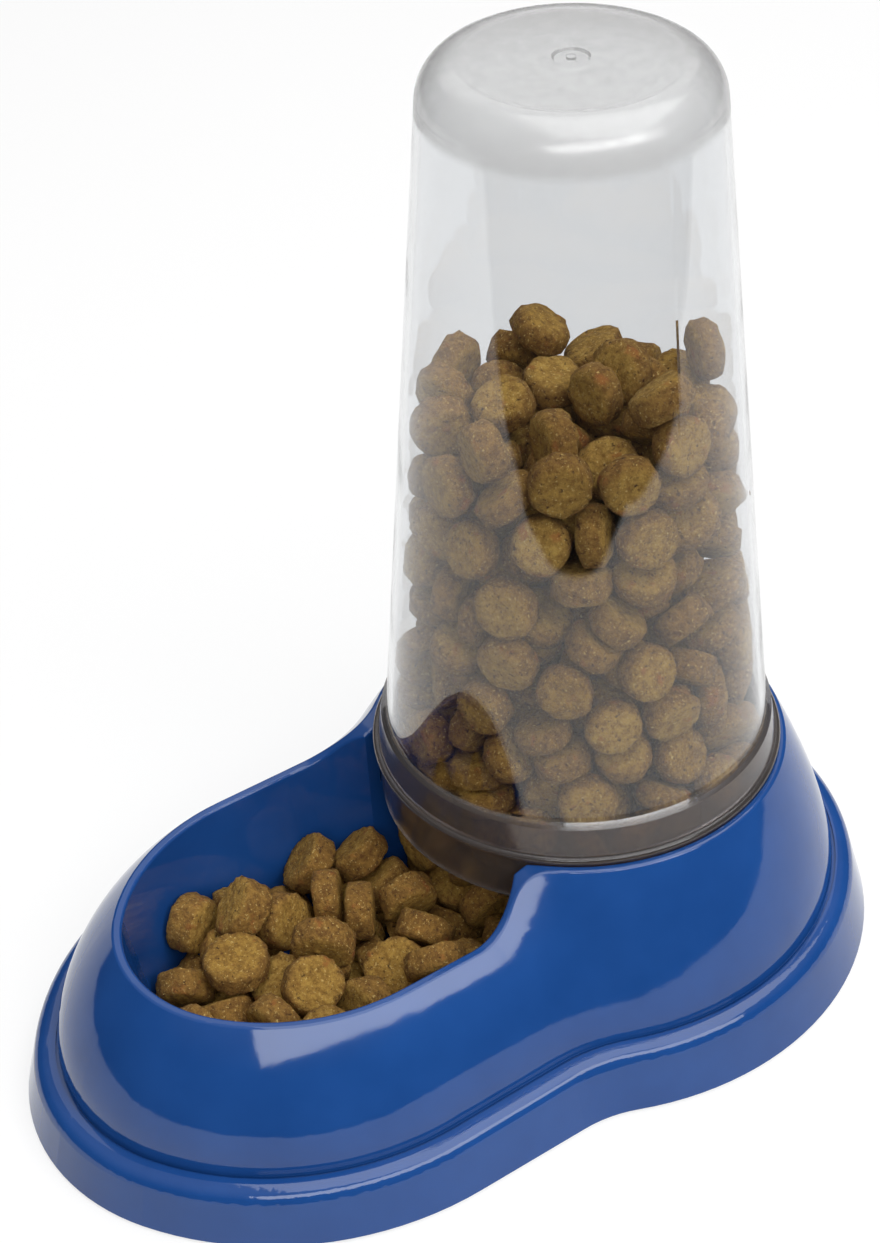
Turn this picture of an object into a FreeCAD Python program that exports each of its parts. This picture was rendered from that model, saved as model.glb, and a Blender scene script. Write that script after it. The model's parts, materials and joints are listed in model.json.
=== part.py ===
import FreeCAD, Part
import math
import os

# Gravity feeder for a pet's dry food or water. A clear tank stands mouth down in a round seat
# at the back of a hollow base moulding, and what it holds runs out through a throat into the
# bowl at the front. Four rubber feet plug into bosses under the base.
# Millimetres. +Z is up, the bowl is towards -Y, and X = 0 is the plane of symmetry. Lengths
# "ahead" are measured from the tank's axis towards the bowl. The origin is on the floor, in
# the middle of the base's length and width.

# Base, plan outline at the bottom edge
nose_reach = 198.6           # tank axis to the front of the base
lobe_radius = 98.8           # round part below the tank
lobe_shift = 3.4             # the round part's centre is this far ahead of the tank axis
front_half_width = 85.7      # half the width across the bowl
widest_behind_nose = 96.6    # widest line of the bowl end, back from the nose
nose_turn = 30.1             # degrees that the nose's own arc turns before the side's begins
waist_radius = 42.0          # hollow between the two lobes, at the bottom edge
foot_stand = 0.8             # how far the rubber feet hold the base off the floor

# Base, flange round the bottom
ledge_nose_height = 17.5     # top of the flange at the nose
ledge_seat_height = 21.5     # top of the flange beside the tank axis
flange_lean = 0.29           # inward lean of the flange's wall, for each unit of height
flange_round = 5.5           # rounded top edge of the flange
body_inset = 12.0            # foot of the body, in from the bottom edge
groove_width = 0.9           # fine groove along the foot of the body
groove_depth = 0.9

# Base, body above the flange
wall = 2.4                   # moulded wall
rim_height = 58.5            # rim of the bowl
rim_nose_inset = 35.6        # rim's outer edge, in from the nose
rim_side_inset = 33.3        # the same at the widest line
rim_nose_turn = 37.4         # degrees that the rim's nose arc turns
rim_width = 2.6              # thickness of the rim
rim_round = 1.1              # rounded edges of the rim
seat_height = 70.8           # top of the tank's seat
seat_land = 2.6              # width of the seat's top
front_dome = 1.9             # how full the bowl end's side is: 1 is a straight slope
seat_dome = 1.4              # the same round the tank's seat
saddle_foot_gap = 12.7       # pocket's front to where the rim starts to climb to the seat
saddle_length = 31.0         # of the climb
section_count = 9            # level outlines from the flange to the top of the body

# Base, bowl and throat
bowl_floor = 6.0             # food side of the bowl's floor
bowl_draft = 7.0             # lean of the bowl's wall from rim to floor
bowl_floor_round = 9.0       # rounding between the bowl's wall and floor
bowl_lead_gap = 14.7         # pocket's front to where the bowl's straight sides end
throat_half_width = 38.5     # half the gap that lets food through to the bowl
throat_lead_radius = 30.0    # curve of the bowl's wall into the throat

# Base, pocket below the tank
pocket_shelf_height = 50.0   # where the round pocket starts to narrow
pocket_neck = 2.5            # step in from the pocket's wall to the chute
chute_floor_radius = 46.0    # radius of the chute at the floor
ramp_start_ahead = 30.0      # where the floor starts to climb behind the bowl
ramp_rise = 22.0             # height of the ramp at the back of the pocket

# Tank
overall_height = 288.0       # floor to the top of the tank
tank_top_radius = 38.9       # side wall carried up to the top
tank_foot_radius = 59.3      # side wall at the collar
collar_height = 84.3         # top of the collar
collar_step = 1.7            # step out from the side wall to the collar
collar_flare = 1.7           # the collar widens this much down to its bead
tank_wall = 1.9
shoulder_round = 11.0        # rounded top edge
bead_thickness = 2.8         # bead that rests on the seat
bead_overhang = 1.8          # bead beyond the spigot
spigot_radius = 62.5         # outside of the spigot that plugs into the seat
spigot_depth = 16.5          # spigot below the bead
spigot_clearance = 0.8       # round the spigot in its pocket
gate_dimple_radius = 5.0     # moulding gate in the middle of the top
gate_dimple_depth = 0.6
gate_nub_radius = 1.3

# Rubber feet and their bosses
foot_radius = 9.0
foot_thickness = 3.0
foot_edge_round = 0.6
stem_radius = 3.0
stem_length = 6.0
stem_clearance = 0.1
boss_radius = 6.5
foot_inset = 21.0            # feet in from the bottom edge, at the sides of each lobe
front_foot_behind_nose = 70.6
rear_foot_behind = 42.0

# Derived sizes
back_reach = lobe_radius - lobe_shift
tank_y = (nose_reach - back_reach) / 2.0
pocket_radius = spigot_radius + spigot_clearance
seat_outer_radius = pocket_radius + seat_land
widest_ahead = nose_reach - widest_behind_nose
bottom_front = (widest_behind_nose, front_half_width, math.radians(nose_turn))
rim_front = (widest_behind_nose - rim_nose_inset, front_half_width - rim_side_inset,
             math.radians(rim_nose_turn))
saddle_foot_ahead = pocket_radius + saddle_foot_gap
saddle_top_ahead = saddle_foot_ahead - saddle_length
bowl_straight_ahead = pocket_radius + bowl_lead_gap
ledge_rise = (ledge_seat_height - ledge_nose_height) / nose_reach
top_margin = 6.0             # how far sections and tools run past the faces that they cut
below = 5.0

Z = FreeCAD.Vector(0, 0, 1)


def at(x, ahead, z):
    """Point at x, a distance ahead of the tank's axis, at height z."""
    return FreeCAD.Vector(x, -ahead, z)


def arc(a, b, c):
    return Part.Arc(a, b, c).toShape()


def line(a, b):
    return Part.LineSegment(a, b).toShape()


def curve(poles):
    bezier = Part.BezierCurve()
    bezier.setPoles(poles)
    return bezier.toShape()


def run(points):
    """Straight edge between two points, or an arc through three."""
    return line(*points) if len(points) == 2 else arc(*points)


def on_arc(cx, c_ahead, radius, angle, z):
    """Point on a circle in plan. The angle is from +X, turning towards the back."""
    return at(cx + radius * math.cos(angle), c_ahead - radius * math.sin(angle), z)


def inset_front(front, inset):
    length, half, turn = front
    return length - inset, half - inset, turn


def front_side(front, z):
    """Right half of the bowl end: a nose arc, then a side arc back to the widest line."""
    length, half, turn = front
    spread = (length - half) / (math.sin(turn) + math.cos(turn) - 1.0)
    nose = length - spread * math.cos(turn)
    side = nose + spread
    nose_ahead = widest_ahead + length - nose
    joint_angle = turn - math.pi / 2
    apex = on_arc(0, nose_ahead, nose, -math.pi / 2, z)
    nose_mid = on_arc(0, nose_ahead, nose, (joint_angle - math.pi / 2) / 2.0, z)
    joint = on_arc(0, nose_ahead, nose, joint_angle, z)
    side_mid = on_arc(half - side, widest_ahead, side, joint_angle / 2.0, z)
    widest = at(half, widest_ahead, z)
    return [apex, nose_mid, joint], [joint, side_mid, widest], widest


def ring_of(right_half):
    """Closed wire from the runs of its right half, front to back, and their mirror image."""
    left_half = []
    for points in reversed(right_half):
        left_half.append([FreeCAD.Vector(-p.x, p.y, p.z) for p in reversed(points)])
    return Part.Wire([run(points) for points in right_half + left_half])


def base_outline(front, lobe, shift, waist, z):
    """Outline of the base at one level: bowl end, waist and round lobe."""
    nose_run, side_run, widest = front_side(front, z)
    waist_x = widest.x + waist
    waist_reach = math.sqrt((lobe + waist) ** 2 - waist_x ** 2)
    waist_ahead = shift + waist_reach
    meet = math.atan2(-waist_reach, waist_x)
    straight_end = at(widest.x, waist_ahead, z)
    waist_mid = on_arc(waist_x, waist_ahead, waist, math.pi + meet / 2.0, z)
    waist_end = on_arc(0, shift, lobe, meet, z)
    lobe_mid = on_arc(0, shift, lobe, (meet + math.pi / 2) / 2.0, z)
    return ring_of([
        nose_run,
        side_run,
        [widest, straight_end],
        [straight_end, waist_mid, waist_end],
        [waist_end, lobe_mid, at(0, shift - lobe, z)],
    ])


def even_outline(inset, z):
    """The bottom edge's outline, the same distance in all round."""
    front = inset_front(bottom_front, inset)
    return base_outline(front, lobe_radius - inset, lobe_shift, waist_radius + inset, z)


def sloped_half_space(drop):
    """Everything above the flange's sloping top, lowered by drop."""
    reach = 2.0 * nose_reach
    low = ledge_seat_height - ledge_rise * reach - drop
    high = ledge_seat_height + ledge_rise * reach - drop
    tall = overall_height
    profile = Part.makePolygon([
        FreeCAD.Vector(-reach, -reach, low),
        FreeCAD.Vector(-reach, reach, high),
        FreeCAD.Vector(-reach, reach, tall),
        FreeCAD.Vector(-reach, -reach, tall),
        FreeCAD.Vector(-reach, -reach, low),
    ])
    return Part.Face(profile).extrude(FreeCAD.Vector(2.0 * reach, 0, 0))


def flange(shrink):
    """Leaning wall round the bottom, cut off by the sloping ledge. Shrink makes its inside."""
    bottom = foot_stand if shrink == 0 else foot_stand - below
    top = ledge_seat_height + ledge_rise * back_reach + top_margin
    low = even_outline(shrink + flange_lean * (bottom - foot_stand), bottom)
    high = even_outline(shrink + flange_lean * (top - foot_stand), top)
    solid = Part.makeLoft([low, high], True, True).cut(sloped_half_space(shrink))
    if shrink > 0:
        return solid
    return solid.makeFillet(flange_round, [e for e in solid.Edges if on_ledge(e)])


def on_ledge(edge):
    """True for an edge that lies in the flange's sloping top."""
    return all(abs(v.Z - ledge_seat_height - ledge_rise * v.Y) < 0.01 for v in edge.Vertexes)


def side_fill(level, foot, top, dome):
    """How far the body's side has come in at a level, from 0 at its foot to 1 at its top."""
    share = max(0.0, (level - foot) / (top - foot))
    return share ** dome


def body(shrink):
    """Domed body as a smooth loft through level outlines, cut off by the saddle on top."""
    bottom = ledge_nose_height / 2.0
    top = seat_height + top_margin
    front_foot = ledge_nose_height
    outlines = []
    for step in range(section_count):
        z = bottom + (top - bottom) * step / (section_count - 1)
        fill = side_fill(z, front_foot, rim_height, front_dome)
        front = [a + (b - a) * fill for a, b in zip(inset_front(bottom_front, body_inset), rim_front)]
        fill = side_fill(z, ledge_seat_height, seat_height, seat_dome)
        lobe_foot = lobe_radius - body_inset
        lobe = lobe_foot + (seat_outer_radius - lobe_foot) * fill
        shift = lobe_shift * max(0.0, 1.0 - fill)
        waist = waist_radius + body_inset + shrink
        outlines.append(base_outline(inset_front(front, shrink), lobe - shrink, shift, waist, z))
    solid = Part.makeLoft(outlines, True, False)
    return solid.cut(saddle_cut(shrink))


def saddle_cut(drop):
    """Space above the body: level over the bowl, an S-shaped climb, level over the seat."""
    reach = 2.0 * nose_reach
    tall = overall_height
    low = rim_height - drop
    high = seat_height - drop
    middle = (saddle_foot_ahead + saddle_top_ahead) / 2.0
    foot = at(-reach, saddle_foot_ahead, low)
    head = at(-reach, saddle_top_ahead, high)
    climb = curve([foot, at(-reach, middle, low), at(-reach, middle, high), head])
    corners = [head, at(-reach, -reach, high), at(-reach, -reach, tall),
               at(-reach, reach, tall), at(-reach, reach, low), foot]
    edges = [climb] + [line(a, b) for a, b in zip(corners, corners[1:])]
    return Part.Face(Part.Wire(edges)).extrude(FreeCAD.Vector(2.0 * reach, 0, 0))


def bowl_outline(inset, z):
    """Outline of the bowl, in from its edge at the rim: bowl end, straight sides, throat."""
    nose_run, side_run, widest = front_side(inset_front(rim_front, rim_width + inset), z)
    lead = throat_lead_radius - inset
    throat = throat_half_width - inset
    lead_x = widest.x - lead
    turn = math.acos(1.0 - (widest.x - throat) / lead)
    straight_end = at(widest.x, bowl_straight_ahead, z)
    lead_mid = on_arc(lead_x, bowl_straight_ahead, lead, turn / 2.0, z)
    lead_end = on_arc(lead_x, bowl_straight_ahead, lead, turn, z)
    pocket_point = at(throat, ramp_start_ahead, z)
    return ring_of([
        nose_run,
        side_run,
        [widest, straight_end],
        [straight_end, lead_mid, lead_end],
        [lead_end, pocket_point],
        [pocket_point, at(0, ramp_start_ahead, z)],
    ])


def bowl_space(grow):
    """The bowl's hollow. Grow adds a wall round it."""
    floor = bowl_floor - grow
    top = seat_height + top_margin
    lean = bowl_draft / (rim_height - bowl_floor)
    low = bowl_outline(lean * (rim_height - floor) - grow, floor)
    high = bowl_outline(-lean * (top - rim_height) - grow, top)
    solid = Part.makeLoft([low, high], True, True)
    bottom_edges = [e for e in solid.Edges if all(abs(v.Z - floor) < 0.01 for v in e.Vertexes)]
    return solid.makeFillet(bowl_floor_round + grow, bottom_edges)


def pocket_space(grow):
    """Round pocket for the spigot, then a chute with a ramp that leads food to the bowl."""
    top = seat_height + top_margin
    shelf = pocket_shelf_height - grow
    floor = bowl_floor - grow
    pocket = Part.makeCylinder(pocket_radius + grow, top - shelf, FreeCAD.Vector(0, 0, shelf))
    neck = pocket_radius - pocket_neck + grow
    chute = Part.makeCone(chute_floor_radius + grow, neck, shelf - floor, FreeCAD.Vector(0, 0, floor))
    reach = 2.0 * lobe_radius
    slope = ramp_rise / (ramp_start_ahead + chute_floor_radius)
    ramp = Part.makePolygon([
        at(-reach, reach, floor - below),
        at(-reach, reach, floor),
        at(-reach, ramp_start_ahead, floor),
        at(-reach, -reach, floor + slope * (ramp_start_ahead + reach)),
        at(-reach, -reach, floor - below),
        at(-reach, reach, floor - below),
    ])
    ramp_block = Part.Face(ramp).extrude(FreeCAD.Vector(2.0 * reach, 0, 0))
    return pocket.fuse(chute.cut(ramp_block))


def groove():
    """Fine groove in the ledge along the foot of the body."""
    low = ledge_nose_height / 2.0
    high = ledge_seat_height + ledge_rise * back_reach + top_margin
    outer = Part.Face(even_outline(body_inset - groove_width, low))
    inner = Part.Face(even_outline(body_inset, low))
    ring = outer.cut(inner).extrude(FreeCAD.Vector(0, 0, high - low))
    return ring.common(sloped_half_space(groove_depth))


def foot_places():
    """Name and plan position of each rubber foot."""
    side = front_half_width - foot_inset
    rear = math.sqrt((lobe_radius - foot_inset) ** 2 - rear_foot_behind ** 2)
    front_foot_ahead = nose_reach - front_foot_behind_nose
    nose_drop = (front_foot_ahead - widest_ahead) / (widest_behind_nose - foot_inset)
    front = side * math.sqrt(1.0 - nose_drop * nose_drop)
    return {
        "front_left_foot": (-front, front_foot_ahead),
        "front_right_foot": (front, front_foot_ahead),
        "rear_left_foot": (-rear, -rear_foot_behind),
        "rear_right_foot": (rear, -rear_foot_behind),
    }


def rounded_rim(shell):
    """Rounds the edges of the saddle, but not the seams where its own faces run together."""
    faces = [f for f in saddle_cut(0).Faces if f.BoundBox.ZMax < overall_height]
    saddle = Part.Compound([f for f in faces if f.BoundBox.ZMax < seat_height + 1.0])
    edges = []
    for edge in shell.Edges:
        middle = edge.valueAt((edge.FirstParameter + edge.LastParameter) / 2.0)
        points = [v.Point for v in edge.Vertexes] + [middle]
        seam = all(abs(p.y - middle.y) < 0.01 for p in points)
        if not seam and all(saddle.distToShape(Part.Vertex(p))[0] < 0.02 for p in points):
            edges.append(edge)
    return shell.makeFillet(rim_round, edges)


def base_moulding():
    outside = flange(0).fuse(body(0)).removeSplitter()
    hollow = flange(wall).fuse(body(wall)).cut(bowl_space(wall)).cut(pocket_space(wall))
    holes = []
    for x, ahead in foot_places().values():
        face = at(x, ahead, foot_thickness)
        hollow = hollow.cut(Part.makeCylinder(boss_radius, seat_height, face))
        holes.append(Part.makeCylinder(stem_radius + stem_clearance, stem_length + stem_clearance, face))
    shell = outside.cut(hollow).cut(bowl_space(0).fuse(pocket_space(0))).removeSplitter()
    shell = rounded_rim(shell).cut(groove())
    return shell.cut(Part.Compound(holes))


def tank_profile(inward):
    """Half section of the tank's outside, or of its inside when inward is the wall."""
    top = overall_height - inward
    slope = (tank_foot_radius - tank_top_radius) / (overall_height - collar_height)
    side_top = tank_top_radius - inward + slope * inward
    side_foot = tank_foot_radius - inward
    collar = side_foot + collar_step
    bead_top = seat_height + bead_thickness
    flare = collar + collar_flare
    spigot = spigot_radius - inward
    bottom = seat_height - spigot_depth - (below if inward else 0.0)
    round_out = shoulder_round - inward
    lean = math.atan(slope)
    reach = round_out * math.tan((math.pi / 2 - lean) / 2.0)
    centre = FreeCAD.Vector(side_top - reach, 0, top - round_out)
    start = FreeCAD.Vector(side_top - reach, 0, top)
    turn = (math.pi / 2 - lean) / 2.0
    middle = centre + FreeCAD.Vector(round_out * math.sin(turn), 0, round_out * math.cos(turn))
    end = centre + FreeCAD.Vector(round_out * math.cos(lean), 0, round_out * math.sin(lean))
    step_top = FreeCAD.Vector(side_foot, 0, collar_height)
    step_out = FreeCAD.Vector(collar, 0, collar_height - collar_step)
    flare_end = FreeCAD.Vector(flare, 0, bead_top)
    edges = [
        line(FreeCAD.Vector(0, 0, top), start),
        arc(start, middle, end),
        line(end, step_top),
        line(step_top, step_out),
        line(step_out, flare_end),
    ]
    last = flare_end
    if inward == 0:
        bead = spigot_radius + bead_overhang
        half_bead = bead_thickness / 2.0
        bead_edge = FreeCAD.Vector(bead - half_bead, 0, bead_top)
        bead_nose = FreeCAD.Vector(bead, 0, bead_top - half_bead)
        bead_foot = FreeCAD.Vector(bead - half_bead, 0, seat_height)
        under = FreeCAD.Vector(spigot, 0, seat_height)
        edges += [line(last, bead_edge), arc(bead_edge, bead_nose, bead_foot), line(bead_foot, under)]
        last = under
    else:
        under = FreeCAD.Vector(spigot, 0, seat_height)
        edges.append(line(last, under))
        last = under
    spigot_foot = FreeCAD.Vector(spigot, 0, bottom)
    axis_foot = FreeCAD.Vector(0, 0, bottom)
    edges.append(line(last, spigot_foot))
    edges.append(line(spigot_foot, axis_foot))
    edges.append(line(axis_foot, FreeCAD.Vector(0, 0, top)))
    return Part.Wire(edges)


def turned(profile):
    return Part.Face(profile).revolve(FreeCAD.Vector(0, 0, 0), Z, 360)


def feed_tank():
    shell = turned(tank_profile(0)).cut(turned(tank_profile(tank_wall)))
    dimple_foot = overall_height - gate_dimple_depth
    dimple = Part.makeCone(gate_dimple_radius - gate_dimple_depth, gate_dimple_radius,
                           gate_dimple_depth, FreeCAD.Vector(0, 0, dimple_foot))
    nub = Part.makeCylinder(gate_nub_radius, gate_dimple_depth, FreeCAD.Vector(0, 0, dimple_foot))
    return shell.cut(dimple).fuse(nub).removeSplitter()


def rubber_foot(x, ahead):
    pad = Part.makeCylinder(foot_radius, foot_thickness, at(x, ahead, 0))
    bottom_edges = [e for e in pad.Edges if all(abs(v.Z) < 0.01 for v in e.Vertexes)]
    bottom_edges = [e for e in bottom_edges if len(e.Vertexes) == 1]
    pad = pad.makeFillet(foot_edge_round, bottom_edges)
    stem = Part.makeCylinder(stem_radius, stem_length, at(x, ahead, foot_thickness))
    return pad.fuse(stem).removeSplitter()


nodes = {"base_moulding": base_moulding(), "feed_tank": feed_tank()}
for name, (x, ahead) in foot_places().items():
    nodes[name] = rubber_foot(x, ahead)

os.makedirs("parts", exist_ok=True)
for name, shape in nodes.items():
    shape.translate(FreeCAD.Vector(0, tank_y, 0))
    shape.exportStep("parts/" + name + ".step")
    box = shape.BoundBox
    print(name, "solids", len(shape.Solids), "valid", shape.isValid(), "volume", round(shape.Volume, 1),
          "box", [round(v, 2) for v in (box.XMin, box.XMax, box.YMin, box.YMax, box.ZMin, box.ZMax)])
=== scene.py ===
import json
import math
import random

import bmesh
import bpy
import numpy as np
from mathutils import Euler, Matrix, Vector, noise

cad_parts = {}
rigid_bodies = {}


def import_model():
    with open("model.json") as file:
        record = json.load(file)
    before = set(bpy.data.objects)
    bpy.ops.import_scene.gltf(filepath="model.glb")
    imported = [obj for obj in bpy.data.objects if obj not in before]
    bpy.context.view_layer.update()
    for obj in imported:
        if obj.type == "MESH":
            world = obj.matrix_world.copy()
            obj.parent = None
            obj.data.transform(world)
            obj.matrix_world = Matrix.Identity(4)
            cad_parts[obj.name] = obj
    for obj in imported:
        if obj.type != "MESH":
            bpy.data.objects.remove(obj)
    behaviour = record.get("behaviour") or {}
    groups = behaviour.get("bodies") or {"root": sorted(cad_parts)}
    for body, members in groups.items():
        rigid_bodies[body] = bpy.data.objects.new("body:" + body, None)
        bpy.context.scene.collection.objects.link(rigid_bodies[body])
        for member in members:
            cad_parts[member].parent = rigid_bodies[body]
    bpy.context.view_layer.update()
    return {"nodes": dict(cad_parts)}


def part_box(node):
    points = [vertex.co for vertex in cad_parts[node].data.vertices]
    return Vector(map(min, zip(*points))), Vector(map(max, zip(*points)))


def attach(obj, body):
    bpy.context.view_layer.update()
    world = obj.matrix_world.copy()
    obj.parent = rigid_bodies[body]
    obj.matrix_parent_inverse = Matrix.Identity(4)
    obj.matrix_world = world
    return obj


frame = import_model()

# Base. One hollow injection moulding in glossy blue polypropylene: flange, body, bowl and the
# round seat for the tank. It stands on its feet. The polish of the mould leaves a faint orange
# peel and slow sink waves, which the reflections show.


def new_finish(name):
    """A node material with nothing in it yet."""
    finish = bpy.data.materials.new(name)
    finish.use_nodes = True
    finish.node_tree.nodes.clear()
    return finish


def add_node(tree, kind, inputs=None, **settings):
    """Adds a node, sets its properties, and sets or links its inputs by name or number."""
    made = tree.nodes.new(kind)
    for name, value in settings.items():
        setattr(made, name, value)
    for name, value in (inputs or {}).items():
        if isinstance(value, bpy.types.NodeSocket):
            tree.links.new(value, made.inputs[name])
        else:
            made.inputs[name].default_value = value
    return made


def own_place(tree):
    """Position on the piece itself, in metres, so that the finish moves with the piece."""
    return add_node(tree, "ShaderNodeTexCoord").outputs["Object"]


def grain(tree, place, size, detail=3.0, roughness=0.5):
    """Cloudy noise with features of about the given size in metres."""
    inputs = {"Vector": place, "Scale": 1.0 / size, "Detail": detail, "Roughness": roughness}
    return add_node(tree, "ShaderNodeTexNoise", inputs).outputs["Fac"]


def rescale(tree, value, low, high, start=0.0, end=1.0, curve="LINEAR"):
    """Takes value from low..high to start..end and holds it there."""
    inputs = {0: value, 1: low, 2: high, 3: start, 4: end}
    return add_node(tree, "ShaderNodeMapRange", inputs, interpolation_type=curve).outputs[0]


def tint(tree, share, first, second):
    """Colour between first and second."""
    inputs = {0: share}
    for number, colour in ((6, first), (7, second)):
        inputs[number] = colour if isinstance(colour, bpy.types.NodeSocket) else (*colour, 1.0)
    return add_node(tree, "ShaderNodeMix", inputs, data_type="RGBA").outputs[2]


def relief(tree, height, depth, under=None):
    """Bump of the given depth in metres, laid over another bump."""
    inputs = {"Height": height, "Distance": depth, "Strength": 1.0}
    if under is not None:
        inputs["Normal"] = under
    return add_node(tree, "ShaderNodeBump", inputs).outputs["Normal"]


def finish_with(tree, shader):
    add_node(tree, "ShaderNodeOutputMaterial", {"Surface": shader})


def dress(piece, finish):
    """Gives a piece its finish in every material slot."""
    if not piece.material_slots:
        piece.data.materials.append(finish)
    for place in piece.material_slots:
        place.material = finish


def blue_polypropylene():
    finish = new_finish("blue_polypropylene")
    tree = finish.node_tree
    place = own_place(tree)
    deep_blue = (0.0085, 0.054, 0.218)
    full_blue = (0.0125, 0.068, 0.262)
    best_polish, worst_polish = 0.055, 0.085
    flow_mark = rescale(tree, grain(tree, place, size=0.030), 0.3, 0.7)
    polish = rescale(tree, grain(tree, place, size=0.008), 0.3, 0.7, best_polish, worst_polish)
    sink_wave = relief(tree, grain(tree, place, size=0.035, detail=1.0), 0.00025)
    orange_peel = relief(tree, grain(tree, place, size=0.0011, detail=2.0), 0.000006, sink_wave)
    plastic = add_node(tree, "ShaderNodeBsdfPrincipled", {
        "Base Color": tint(tree, flow_mark, deep_blue, full_blue),
        "Roughness": polish,
        "IOR": 1.50,
        "Normal": orange_peel,
    })
    finish_with(tree, plastic.outputs[0])
    return finish


dress(frame["nodes"]["base_moulding"], blue_polypropylene())

# Tank. One clear moulding, mouth down, closed at the top, with a collar, a bead that rests on
# the seat and an open spigot inside it. The rounded closed end is slightly frosted, the collar
# and spigot are tinted dark as painted shade of the throat, and the clear wall has faint flow
# waves and the scuffs of handling.


def blend(tree, share, first, second):
    """Number between first and second."""
    return add_node(tree, "ShaderNodeMix", {0: share, 2: first, 3: second}).outputs[0]


def larger(tree, first, second):
    return add_node(tree, "ShaderNodeMath", {0: first, 1: second}, operation="MAXIMUM").outputs[0]


def clear_plastic():
    """Tinted glass for the eye. Lamps and soft light pass straight through it, a little dimmed."""
    finish = new_finish("clear_plastic")
    tree = finish.node_tree
    place = own_place(tree)
    wall_tint, wall_dimming = (0.86, 0.87, 0.88), (0.85, 0.855, 0.865)
    # the collar's dark tint is painted shade of the throat; its dimming dims lamp light through it
    collar_shade_tint, collar_dimming = (0.35, 0.31, 0.30), (0.50, 0.46, 0.44)
    closed_end_tint, closed_end_dimming = (0.72, 0.72, 0.72), (0.97, 0.97, 0.97)
    collar_haze, collar_clearness = 0.14, 0.90
    closed_end_clearness = 0.92
    collar_shade_low, collar_shade_high = 0.0825, 0.0845       # heights between which the painted shade of the collar ends
    frost_low, frost_high = 0.2735, 0.2765       # and the frost begins
    height = add_node(tree, "ShaderNodeSeparateXYZ", {0: place}).outputs["Z"]
    collar_shade_zone = rescale(tree, height, collar_shade_low, collar_shade_high, 1.0, 0.0, "SMOOTHSTEP")
    frost = rescale(tree, height, frost_low, frost_high, 0.0, 1.0, "SMOOTHSTEP")
    # the collar and spigot get a dark tint: painted shade of the throat below them
    body_tint = tint(tree, collar_shade_zone, wall_tint, collar_shade_tint)
    body_tint = tint(tree, frost, body_tint, closed_end_tint)
    lamp_tint = tint(tree, collar_shade_zone, wall_dimming, collar_dimming)
    lamp_tint = tint(tree, frost, lamp_tint, closed_end_dimming)
    cloud = rescale(tree, grain(tree, place, size=0.004, detail=4.0), 0.35, 0.65, 0.18, 0.26)
    handling = grain(tree, place, size=0.012, detail=6.0, roughness=0.7)
    scuff = rescale(tree, handling, 0.45, 0.75, 0.008, 0.035)
    haze = blend(tree, frost, scuff, cloud)
    haze = blend(tree, collar_shade_zone, haze, collar_haze)
    clearness = rescale(tree, frost, 0.0, 1.0, 1.0, closed_end_clearness)
    clearness = blend(tree, collar_shade_zone, clearness, collar_clearness)
    flow_wave = relief(tree, grain(tree, place, size=0.030, detail=1.0), 0.00012)
    plastic = add_node(tree, "ShaderNodeBsdfPrincipled", {
        "Base Color": body_tint,
        "Roughness": haze,
        "IOR": 1.49,
        "Transmission Weight": clearness,
        "Normal": flow_wave,
    })
    straight_through = add_node(tree, "ShaderNodeBsdfTransparent", {0: lamp_tint})
    rays = add_node(tree, "ShaderNodeLightPath").outputs
    lamp_ray = larger(tree, rays["Is Shadow Ray"], rays["Is Diffuse Ray"])
    both = add_node(tree, "ShaderNodeMixShader", {
        0: lamp_ray,
        1: plastic.outputs[0],
        2: straight_through.outputs[0],
    })
    finish_with(tree, both.outputs[0])
    return finish


dress(frame["nodes"]["feed_tank"], clear_plastic())

# Feet. Four soft rubber pads, plugged into bosses under the base by their stems. Matt dark
# grey with a fine grain, a little dustier where they have rubbed on the floor.


def dark_rubber():
    finish = new_finish("dark_rubber")
    tree = finish.node_tree
    place = own_place(tree)
    clean_rubber = (0.085, 0.085, 0.088)
    dusty_rubber = (0.150, 0.147, 0.142)
    dust = rescale(tree, grain(tree, place, size=0.003, detail=4.0), 0.45, 0.75)
    skin = relief(tree, grain(tree, place, size=0.0005, detail=2.0), 0.00003)
    rubber = add_node(tree, "ShaderNodeBsdfPrincipled", {
        "Base Color": tint(tree, dust, clean_rubber, dusty_rubber),
        "Roughness": 0.75,
        "Specular IOR Level": 0.35,
        "Normal": skin,
    })
    finish_with(tree, rubber.outputs[0])
    return finish


foot_finish = dark_rubber()
for name, piece in frame["nodes"].items():
    if name.endswith("_foot"):
        dress(piece, foot_finish)

# Dry food. Baked discs with a rough, crumbly skin, about 18 mm across in the tank and 20 mm in the
# bowl. They are poured in, fall and settle under their own weight. The food in the tank goes with
# the tank, and what lies below its mouth and in the bowl stays in the base.

pellet_radius = 0.0094
pellet_half_height = 0.0046
pellet_squareness = 7.5      # 2 would be an ellipsoid, more is squarer
tank_share = 0.97            # the pellets in the tank show a little smaller than they fall
bowl_share = 1.07            # the pellets in the bowl fall and show a little larger
tank_fineness = 3            # how often a pellet's skin is divided
bowl_fineness = 4
pellet_kinds = 10
width_spread = (0.93, 1.03)
length_spread = (0.94, 1.0)
height_spread = (0.88, 1.05)
dents_per_metre, dent_depth = 90.0, 0.00060
lumps_per_metre, lump_height = 240.0, 0.00035
crumbs_per_metre, crumb_height = 420.0, 0.00100
crumb_octaves = 3
skin_drop = 0.00065          # makes up for the crumbs, which only stand out
noise_room = 90              # each kind takes its bumps from another place in the noise
draw = random.Random(7)


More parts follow.
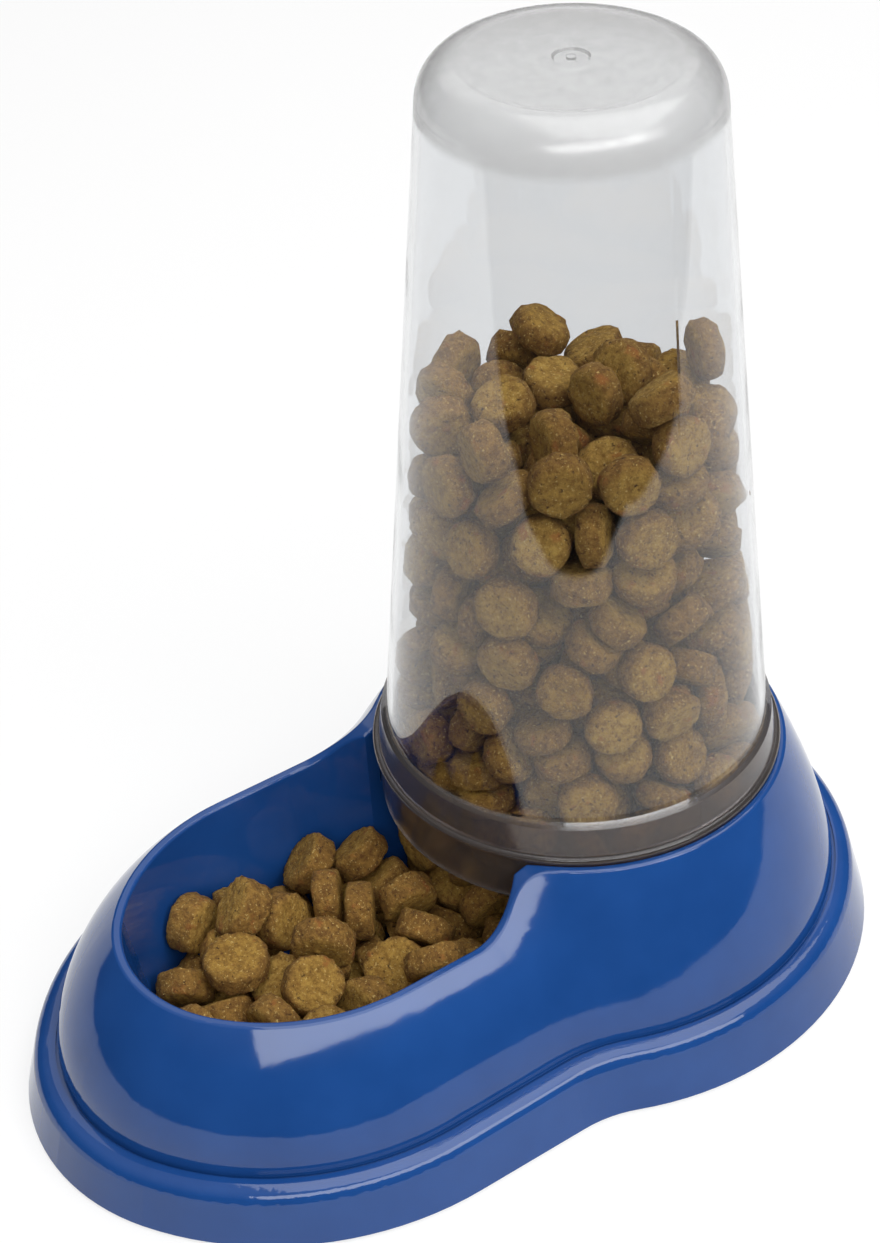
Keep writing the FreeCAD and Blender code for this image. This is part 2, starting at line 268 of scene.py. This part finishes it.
def pellet_skin(form, seed):
    """Turns a sphere of radius 1 into a crumbly disc, and gives 1 for its rim and 0 for its flats."""
    own = random.Random(seed)
    wide = pellet_radius * own.uniform(*width_spread)
    long = wide * own.uniform(*length_spread)
    half = pellet_half_height * own.uniform(*height_spread)
    away = Vector([own.uniform(0, noise_room) for _ in range(3)])
    side = []
    for vert in form.verts:
        way = vert.co.normalized()
        across = ((way.x / wide) ** 2 + (way.y / long) ** 2) ** (pellet_squareness / 2)
        up = (abs(way.z) / half) ** pellet_squareness
        vert.co = way * (across + up) ** (-1 / pellet_squareness)
        side.append(across / (across + up))
        dent = noise.noise(vert.co * dents_per_metre + away) * dent_depth
        lump = noise.noise(vert.co * lumps_per_metre + away) * lump_height
        crumb = noise.turbulence(vert.co * crumbs_per_metre + away, crumb_octaves, True) * crumb_height
        vert.co += way * (dent + lump + crumb - skin_drop)
    return side


def pellet_form(seed, fineness):
    """Points, faces and rim marks of one kind of pellet."""
    form = bmesh.new()
    bmesh.ops.create_icosphere(form, subdivisions=fineness, radius=1.0)
    side = np.array(pellet_skin(form, seed))
    points = np.array([vert.co[:] for vert in form.verts])
    faces = np.array([[vert.index for vert in face.verts] for face in form.faces])
    form.free()
    return points, faces, side


def mesh_of(form, name):
    mesh = bpy.data.meshes.new(name)
    form.to_mesh(mesh)
    form.free()
    return mesh


def rough_pellet(scale):
    """Plain disc that stands for a pellet while they fall."""
    form = bmesh.new()
    bmesh.ops.create_uvsphere(form, u_segments=10, v_segments=6, radius=1.0)
    for vert in form.verts:
        way = vert.co.normalized()
        across = math.hypot(way.x, way.y) / pellet_radius
        reach = across ** pellet_squareness + (abs(way.z) / pellet_half_height) ** pellet_squareness
        vert.co = way * reach ** (-1 / pellet_squareness) * scale
    return mesh_of(form, "falling_pellet")


tank_low, tank_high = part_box("feed_tank")
tank_axis = (tank_low.y + tank_high.y) / 2
mouth = tank_low.z
mouth_inside = 0.0606
wall_foot_inside = 0.0574
closed_end_inside = 0.0374
chute_radius = 0.047
tank_inside = [              # radius and height
    (mouth_inside, mouth),
    (mouth_inside, 0.0708),
    (wall_foot_inside, 0.0843),
    (closed_end_inside, 0.286),
    (closed_end_inside, 1.3),    # the tube runs on up to hold the pellets before they fall
]


def room_at(z):
    """Radius of the room for food at a height: inside the tank, or in the chute below its mouth."""
    for (r0, z0), (r1, z1) in zip(tank_inside, tank_inside[1:]):
        if z0 <= z <= z1:
            return r0 + (r1 - r0) * (z - z0) / (z1 - z0)
    return chute_radius


pellet_step = 0.0202         # from one pellet to the next before they fall


def bowl_starts():
    """Where the pellets in the bowl start to fall: two full layers and part of a third."""
    layers, full_layers = 3, 2
    front, bottom = -0.095, 0.017
    layer_step = 0.019
    squeeze = 0.93           # columns stand a little closer together than rows
    row_reaches = (0.021, 0.040, 0.040, 0.040, 0.030, 0.030)     # half the width of each row
    third_layer_rows, third_layer_left = 3, -0.03
    starts = []
    for layer in range(layers):
        for row, reach in enumerate(row_reaches):
            for column in range(-2, 3):
                x = column * pellet_step * squeeze
                y = front + row * pellet_step
                heaped = layer < full_layers or (row < third_layer_rows and x > third_layer_left)
                if abs(x) <= reach and heaped:
                    starts.append((x, y, bottom + layer * layer_step))
    return starts


core_radius = 0.018          # the middle of the heap, which nobody sees, is left out
core_top_share = 0.75        # the core narrows towards its top
core_low, core_high = 0.078, 0.170
column_count = 356           # pellets poured into the tank
late_rounds = 7              # four more pellets each, poured in last, towards the back right
pour_angle = math.radians(53)


def late_start(off_axis, apart, angle, z):
    """Where a late pellet starts, apart from the middle of the pour in the given direction."""
    return (off_axis * math.cos(pour_angle) + apart * math.cos(angle),
            tank_axis + off_axis * math.sin(pour_angle) + apart * math.sin(angle), z)


def column_starts():
    """Where the pellets in the tank start: rings, one layer above another, and the late ones."""
    bottom, layer_step = 0.040, 0.0195
    wall_gap = 0.0108
    ring_step = pellet_step * 1.015
    smallest_ring, ring_round_core = 0.004, 0.028
    room_below_core, room_above_core = 0.008, 0.004
    single_off_axis, triple_off_axis, triple_spread = 0.014, 0.012, 0.0205
    starts = []
    z = bottom
    while len(starts) < column_count:
        r = room_at(z) - wall_gap
        beside_core = core_low - room_below_core < z < core_high + room_above_core
        smallest = ring_round_core if beside_core else smallest_ring
        while r > smallest:
            count = max(1, int(math.tau * r / pellet_step))
            turn = draw.random() * math.tau
            for number in range(count):
                angle = turn + math.tau * number / count
                starts.append((r * math.cos(angle), tank_axis + r * math.sin(angle), z))
            r -= ring_step
        z += layer_step
    starts = starts[:column_count]
    for _ in range(late_rounds):
        turn = draw.random() * math.tau
        starts.append(late_start(single_off_axis, 0.0, turn, z))
        for number in range(3):
            angle = turn + math.tau * number / 3
            starts.append(late_start(triple_off_axis, triple_spread, angle, z + layer_step))
        z += 2 * layer_step
    return starts


def tank_wall(scale):
    """Inside of the tank as a plain tube, open at both ends."""
    around = 48
    points = []
    faces = []
    for r, z in tank_inside:
        for number in range(around):
            angle = math.tau * number / around
            points.append((r * math.cos(angle) * scale,
                           (tank_axis + r * math.sin(angle)) * scale, z * scale))
    for ring in range(len(tank_inside) - 1):
        for number in range(around):
            a = ring * around + number
            b = ring * around + (number + 1) % around
            faces.append((a, b, b + around, a + around))
    mesh = bpy.data.meshes.new("wall_for_fall")
    mesh.from_pydata(points, [], faces)
    return mesh


def heap_core(scale):
    """Cone that keeps the middle of the heap free while the food falls."""
    form = bmesh.new()
    bmesh.ops.create_cone(form, segments=20, radius1=core_radius * scale,
                          radius2=core_radius * core_top_share * scale,
                          depth=(core_high - core_low) * scale, cap_ends=True)
    middle = Vector((0, tank_axis, (core_low + core_high) / 2)) * scale
    bmesh.ops.translate(form, verts=form.verts, vec=middle)
    return mesh_of(form, "core_for_fall")


def throat_sill(scale):
    """Plate that stands in the throat while the food falls, so that the bowl fills evenly."""
    size = (0.090, 0.002, 0.036)
    middle = Vector((0, -0.003, 0.046))
    form = bmesh.new()
    bmesh.ops.create_cube(form, size=scale)
    bmesh.ops.scale(form, verts=form.verts, vec=size)
    bmesh.ops.translate(form, verts=form.verts, vec=middle * scale)
    return mesh_of(form, "sill_for_fall")


def falling_bodies(pieces, kind, shape, friction):
    """Makes the pieces rigid bodies for the fall."""
    for piece in bpy.context.view_layer.objects:
        piece.select_set(piece in pieces)
    bpy.context.view_layer.objects.active = pieces[0]
    bpy.ops.rigidbody.objects_add(type=kind)
    for piece in pieces:
        body = piece.rigid_body
        body.collision_shape = shape
        body.friction = friction
        body.restitution = 0.0
        body.use_margin = True
        body.collision_margin = 0.003
        body.linear_damping = 0.25
        body.angular_damping = 0.4
        if kind == "ACTIVE":
            body.mass = 0.05


def let_fall(bowl_places, tank_places):
    """Drops the pellets, at ten times real size, and gives back where they lie.
    """
    scale = 10.0
    last_frame = 66
    nudge_reach = 0.0003
    made = []
    tray = frame["nodes"]["base_moulding"].data.copy()
    tray.transform(Matrix.Scale(scale, 4))
    for mesh in (tray, tank_wall(scale), heap_core(scale), throat_sill(scale)):
        made.append(bpy.data.objects.new("wall_for_fall", mesh))
    walls = list(made)
    tank_shape = rough_pellet(scale)
    bowl_shape = rough_pellet(scale * bowl_share)
    for number, place in enumerate(bowl_places + tank_places):
        shape = bowl_shape if number < len(bowl_places) else tank_shape
        pellet = bpy.data.objects.new("falling_pellet", shape)
        turn = Euler([draw.uniform(0, math.tau) for _ in range(3)]).to_matrix().to_4x4()
        nudge = Vector([draw.uniform(-nudge_reach, nudge_reach) for _ in range(3)])
        pellet.matrix_world = Matrix.Translation((Vector(place) + nudge) * scale) @ turn
        made.append(pellet)
    pellets = made[len(walls):]
    for piece in made:
        bpy.context.collection.objects.link(piece)
    scene = bpy.context.scene
    bpy.ops.rigidbody.world_add()
    fall = scene.rigidbody_world
    fall.substeps_per_frame = 14
    fall.solver_iterations = 12
    fall.point_cache.frame_end = last_frame
    falling_bodies(pellets, "ACTIVE", "CONVEX_HULL", friction=0.7)
    falling_bodies(walls, "PASSIVE", "MESH", friction=0.5)
    for number in range(1, last_frame + 1):
        scene.frame_set(number)
    graph = bpy.context.evaluated_depsgraph_get()
    rest = []
    for pellet in pellets:
        place, turn, _ = pellet.evaluated_get(graph).matrix_world.decompose()
        rest.append(Matrix.Translation(place / scale) @ turn.to_matrix().to_4x4())
    bpy.ops.rigidbody.world_remove()
    scene.frame_set(1)
    for piece in made:
        bpy.data.objects.remove(piece)
    return rest


def food_piece(name, lying, share, fineness):
    """One mesh of all the pellets in one place, each with its own tone."""
    forms = [pellet_form(seed, fineness) for seed in range(pellet_kinds)]
    points = []
    faces = []
    marks = {"tone": [], "side": []}
    count = 0
    for number, place in enumerate(lying):
        skin, corners, side = forms[number % len(forms)]
        points.append(skin * share @ np.array(place.to_3x3()).T + np.array(place.translation))
        faces.append(corners + count)
        marks["tone"].append(np.full(len(skin), draw.random()))
        marks["side"].append(side)
        count += len(skin)
    mesh = bpy.data.meshes.new(name)
    mesh.from_pydata(np.vstack(points).tolist(), [], np.vstack(faces).tolist())
    mesh.shade_smooth()
    for mark, values in marks.items():
        layer = mesh.attributes.new(mark, "FLOAT", "POINT")
        layer.data.foreach_set("value", np.concatenate(values).astype(np.float32))
    piece = bpy.data.objects.new(name, mesh)
    bpy.context.collection.objects.link(piece)
    return piece


def baked_crumb():
    """Mottled golden crust, browner at the rim, with red spots, pale specks and dark pits of painted
    shade.
    """
    finish = new_finish("baked_crumb")
    tree = finish.node_tree
    place = own_place(tree)
    red_spot = (0.360, 0.115, 0.028)
    pale_speck = (0.62, 0.44, 0.15)
    pit_shade_colour = (0.060, 0.024, 0.008)
    rim_browning = 0.75
    red_strength = 0.6
    tone = add_node(tree, "ShaderNodeAttribute", attribute_name="tone").outputs["Fac"]
    side = add_node(tree, "ShaderNodeAttribute", attribute_name="side").outputs["Fac"]
    mottle = rescale(tree, grain(tree, place, size=0.0024, detail=6.0, roughness=0.78), 0.38, 0.62)
    light = tint(tree, tone, (0.400, 0.230, 0.043), (0.530, 0.330, 0.075))
    dark = tint(tree, tone, (0.190, 0.092, 0.016), (0.265, 0.138, 0.026))
    crust = tint(tree, mottle, dark, light)
    browned = tint(tree, mottle, (0.120, 0.050, 0.013), (0.300, 0.155, 0.034))
    crust = tint(tree, rescale(tree, side, 0.1, 0.9, 0.0, rim_browning), crust, browned)
    meat = rescale(tree, grain(tree, place, size=0.0060), 0.62, 0.72, 0.0, red_strength)
    crust = tint(tree, meat, crust, red_spot)
    speck = rescale(tree, grain(tree, place, size=0.0009, roughness=0.6), 0.60, 0.70)
    crust = tint(tree, speck, crust, pale_speck)
    # near-black spots are painted shade standing for the shade in the crumb's pits
    painted_pit_shade = rescale(tree, grain(tree, place, size=0.0016, detail=5.0, roughness=0.7), 0.32, 0.43)
    crust = tint(tree, painted_pit_shade, pit_shade_colour, crust)
    coarse = relief(tree, grain(tree, place, size=0.0030, detail=5.0, roughness=0.65), 0.0014)
    fine_grain = grain(tree, place, size=0.0008, detail=4.0, roughness=0.7)
    fine = relief(tree, fine_grain, 0.00060, coarse)
    food = add_node(tree, "ShaderNodeBsdfPrincipled", {
        "Base Color": crust,
        "Roughness": 0.82,
        "Specular IOR Level": 0.30,
        "Normal": fine,
    })
    finish_with(tree, food.outputs[0])
    return finish


in_tank = []
in_base = []
for place in let_fall(bowl_starts(), column_starts()):
    off_axis = math.hypot(place.translation.x, place.translation.y - tank_axis)
    if place.translation.z > mouth and off_axis < mouth_inside:
        in_tank.append(place)
    else:
        in_base.append(place)
crumb = baked_crumb()
for name, lying, share, fineness, body in (
        ("food_in_tank", in_tank, tank_share, tank_fineness, "tank"),
        ("food_in_bowl", in_base, bowl_share, bowl_fineness, "base")):
    piece = food_piece(name, lying, share, fineness)
    dress(piece, crumb)
    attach(piece, body)

# Studio. A plain white table in a dark room, and soft panels round the object. The table shows
# white where nothing stands on it and keeps a soft shadow. In reflections it ends in front and on
# the right, as in the photograph, and what shines through the tank isn't touched by that.

half_table = 3.0
table_drop = 0.0003          # keeps the table just clear of the feet
to_front_right, front_right_end = (0.80, -0.60, 0.0), 0.380
to_right, right_end = (1.0, 0.0, 0.0), 0.475
end_blur = 0.004


def grey(level):
    return (level, level, level, 1.0)


def past_end(tree, way, end):
    """0 on the table and 1 past its end in the given direction."""
    inputs = {0: own_place(tree), 1: way}
    reach = add_node(tree, "ShaderNodeVectorMath", inputs, operation="DOT_PRODUCT").outputs["Value"]
    return rescale(tree, reach, end - end_blur, end + end_blur)


def white_floor():
    """White to the eye, a plain bounce for other light, and dark past its ends in reflections."""
    finish = new_finish("white_floor")
    tree = finish.node_tree
    paint = add_node(tree, "ShaderNodeBsdfDiffuse", {0: grey(0.27)})
    glow = add_node(tree, "ShaderNodeEmission", {0: grey(1.0), 1: 0.72})
    lit = add_node(tree, "ShaderNodeAddShader", {0: paint.outputs[0], 1: glow.outputs[0]})
    plain = add_node(tree, "ShaderNodeBsdfDiffuse", {0: grey(0.65)})
    dark = add_node(tree, "ShaderNodeEmission", {0: grey(1.0), 1: 0.03})
    rays = add_node(tree, "ShaderNodeLightPath").outputs
    seen = larger(tree, rays["Is Camera Ray"], rays["Is Glossy Ray"])
    seen = larger(tree, seen, rays["Is Transmission Ray"])
    table = add_node(tree, "ShaderNodeMixShader", {0: seen, 1: plain.outputs[0], 2: lit.outputs[0]})
    off_table = larger(tree, past_end(tree, to_front_right, front_right_end),
                       past_end(tree, to_right, right_end))
    mirrored = rescale(tree, rays["Glossy Depth"], 0.0, 1.0)
    inputs = {0: off_table, 1: mirrored}
    dark_room = add_node(tree, "ShaderNodeMath", inputs, operation="MULTIPLY").outputs[0]
    inputs = {0: dark_room, 1: table.outputs[0], 2: dark.outputs[0]}
    finish_with(tree, add_node(tree, "ShaderNodeMixShader", inputs).outputs[0])
    return finish


floor_mesh = bpy.data.meshes.new("floor")
floor_mesh.from_pydata([
    (-half_table, -half_table, 0),
    (half_table, -half_table, 0),
    (half_table, half_table, 0),
    (-half_table, half_table, 0),
], [], [(0, 1, 2, 3)])
floor = bpy.data.objects.new("floor", floor_mesh)
floor.location.z = -table_drop
bpy.context.collection.objects.link(floor)
dress(floor, white_floor())


def soft_panel(name, azimuth, elevation, away, width, height, radiance):
    """Soft light panel that faces the object from the given direction."""
    lamp = bpy.data.lights.new(name, "AREA")
    lamp.shape = "RECTANGLE"
    lamp.size = width
    lamp.size_y = height
    lamp.energy = radiance * math.pi * width * height
    panel = bpy.data.objects.new(name, lamp)
    turn, rise = math.radians(azimuth), math.radians(elevation)
    way = Vector((math.cos(turn) * math.cos(rise), math.sin(turn) * math.cos(rise), math.sin(rise)))
    target = Vector((0.0, 0.0, 0.06))
    panel.location = target + way * away
    panel.rotation_euler = way.to_track_quat("Z", "Y").to_euler()
    bpy.context.collection.objects.link(panel)


soft_panel("front_panel", azimuth=-11, elevation=43, away=1.6, width=2.10, height=0.52, radiance=5.2)
soft_panel("top_panel", azimuth=60, elevation=76, away=1.6, width=1.7, height=1.5, radiance=2.6)
soft_panel("back_panel", azimuth=150, elevation=40, away=2.0, width=1.8, height=0.9, radiance=0.8)


def room_air():
    """White where it is seen, dim for the light it gives, and paler overhead in reflections."""
    room = bpy.data.worlds.new("room")
    room.use_nodes = True
    air = room.node_tree
    air.nodes.clear()
    dim_light = 0.22
    low_ceiling, high_ceiling = 0.05, 0.60
    rays = add_node(air, "ShaderNodeLightPath").outputs
    plain_view = larger(air, rays["Is Camera Ray"], rays["Is Transmission Ray"])
    way = add_node(air, "ShaderNodeTexCoord").outputs["Generated"]
    rise = add_node(air, "ShaderNodeSeparateXYZ", {0: way}).outputs["Z"]
    ceiling = rescale(air, rise, 0.45, 0.95, low_ceiling, high_ceiling)
    gloss_view = blend(air, rays["Is Glossy Ray"], dim_light, ceiling)
    strength = larger(air, plain_view, gloss_view)
    glow = add_node(air, "ShaderNodeBackground", {0: grey(1.0), 1: strength})
    add_node(air, "ShaderNodeOutputWorld", {"Surface": glow.outputs[0]})
    return room


bpy.context.scene.world = room_air()

# Camera. It looks down on the object from the front right, as in the photograph, whose frame is
# cut from the upper left of a larger picture, so the lens is shifted.

camera_place = (0.44715, -0.28795, 0.54010)
sight = Vector((-0.56681, 0.41312, -0.71278)).normalized()
across = Vector((0.60132, 0.79887, -0.01515)).normalized()
upward = across.cross(sight)
camera_data = bpy.data.cameras.new("camera")
camera_data.sensor_width = 36.0
camera_data.lens = 66.695
camera_data.shift_x = -0.08551
camera_data.shift_y = 0.26693
camera = bpy.data.objects.new("camera", camera_data)
camera.matrix_world = Matrix.Translation(camera_place) @ Matrix((
    (across.x, upward.x, -sight.x),
    (across.y, upward.y, -sight.y),
    (across.z, upward.z, -sight.z),
)).to_4x4()
bpy.context.collection.objects.link(camera)
bpy.context.scene.camera = camera
bpy.context.scene.view_settings.view_transform = "Standard"
